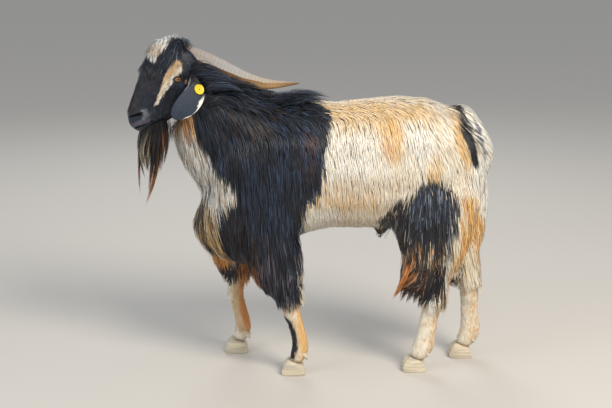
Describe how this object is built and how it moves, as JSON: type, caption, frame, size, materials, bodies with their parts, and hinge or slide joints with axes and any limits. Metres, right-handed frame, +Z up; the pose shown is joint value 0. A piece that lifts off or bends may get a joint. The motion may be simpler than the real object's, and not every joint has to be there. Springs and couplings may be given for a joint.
{
  "type": "standing goat model",
  "caption": "Life-size still model of a long-haired billy goat standing square, head turned to its left, with swept-back horns, lop ears and a beard.",
  "frame": {"origin": "on the floor under the middle of the goat's outline box", "axes": "+X from the head to the tail, +Y to the goat's right, +Z up; the soles stand on z = 0"},
  "size_m": [1.103, 0.3688, 1.0257],
  "materials": {
    "black_coat": "long glossy hair",
    "pale_coat": "long soft hair",
    "tan_coat": "long soft hair",
    "ear_skin": "short velvet hair",
    "horn": "dry horn with faint ridges",
    "claw": "dusty horn",
    "eye": "wet, clear",
    "tag_yellow": "moulded"
  },
  "bodies": {
    "root": {"horn_left": "horn", "eye_left": "eye", "claw_fore_left_outer": "claw", "dewclaw_fore_left_outer": "claw", "claw_fore_left_inner": "claw", "dewclaw_fore_left_inner": "claw", "claw_hind_left_outer": "claw", "dewclaw_hind_left_outer": "claw", "claw_hind_left_inner": "claw", "dewclaw_hind_left_inner": "claw", "horn_right": "horn", "eye_right": "eye", "claw_fore_right_outer": "claw", "dewclaw_fore_right_outer": "claw", "claw_fore_right_inner": "claw", "dewclaw_fore_right_inner": "claw", "claw_hind_right_outer": "claw", "dewclaw_hind_right_outer": "claw", "claw_hind_right_inner": "claw", "dewclaw_hind_right_inner": "claw", "ear_left": "ear_skin", "ear_right": "ear_skin", "ear_tag": "tag_yellow", "beard": "tan_coat", "tail": "pale_coat", "sheath": "black_coat", "scrotum": "black_coat", "shank_fore_left": "tan_coat", "upper_fore_left": "black_coat", "shank_hind_left": "pale_coat", "thigh_left": "tan_coat", "shank_fore_right": "tan_coat", "upper_fore_right": "black_coat", "shank_hind_right": "pale_coat", "thigh_right": "tan_coat", "head": "black_coat", "neck": "black_coat", "trunk": "pale_coat"}
  },
  "joints": []
}
